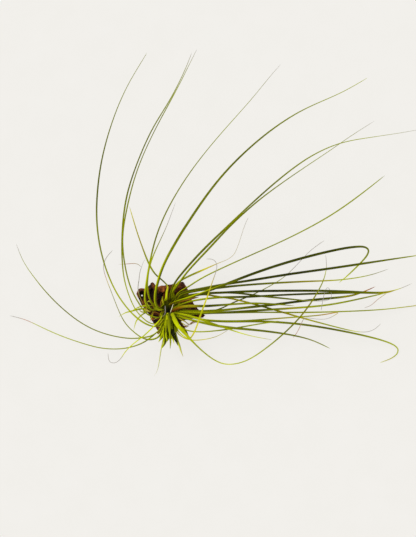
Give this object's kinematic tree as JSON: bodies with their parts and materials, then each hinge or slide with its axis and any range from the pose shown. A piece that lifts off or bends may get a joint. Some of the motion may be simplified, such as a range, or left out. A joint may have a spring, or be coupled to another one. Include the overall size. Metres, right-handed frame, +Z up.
{
  "type": "air plant on bark",
  "caption": "Air plant with very long, narrow, channelled leaves swept to one side and a short young shoot, growing on a lump of bark.",
  "frame": {"origin": "on the surface that the part rests on, under the middle of the bark", "axes": "+Z up, +X along the way most leaves sweep, +Y towards the upper leaves"},
  "size_m": [0.3337, 0.2495, 0.0863],
  "materials": {
    "shoot": "satin, living leaf",
    "leaf": "satin, living leaf with fine scales",
    "dry_leaf": "matt, dried leaf",
    "root": "matt, wiry root",
    "bark": "matt, rough bark"
  },
  "bodies": {
    "root": {"crown": "shoot", "leaf_nw_1": "leaf", "leaf_nw_2": "leaf", "leaf_nw_3": "leaf", "leaf_n_1": "leaf", "leaf_n_2": "leaf", "leaf_n_3": "leaf", "leaf_ne_1": "leaf", "leaf_ne_2": "leaf", "leaf_ne_3": "leaf", "leaf_ne_4": "leaf", "leaf_ne_5": "leaf", "leaf_e_1": "leaf", "leaf_e_2": "leaf", "leaf_e_3": "leaf", "leaf_e_4": "leaf", "leaf_e_5": "leaf", "leaf_e_6": "leaf", "leaf_e_7": "leaf", "leaf_e_8": "leaf", "leaf_e_9": "leaf", "leaf_e_10": "leaf", "leaf_e_11": "leaf", "leaf_e_12": "leaf", "leaf_e_13": "leaf", "leaf_e_14": "leaf", "leaf_e_15": "leaf", "leaf_e_16": "leaf", "leaf_se_1": "leaf", "leaf_se_2": "leaf", "leaf_se_3": "leaf", "leaf_se_4": "leaf", "leaf_w_1": "leaf", "leaf_w_2": "leaf", "leaf_w_3": "leaf", "leaf_sw_1": "leaf", "dry_leaves": "dry_leaf", "roots": "root", "bark": "bark"}
  },
  "joints": []
}
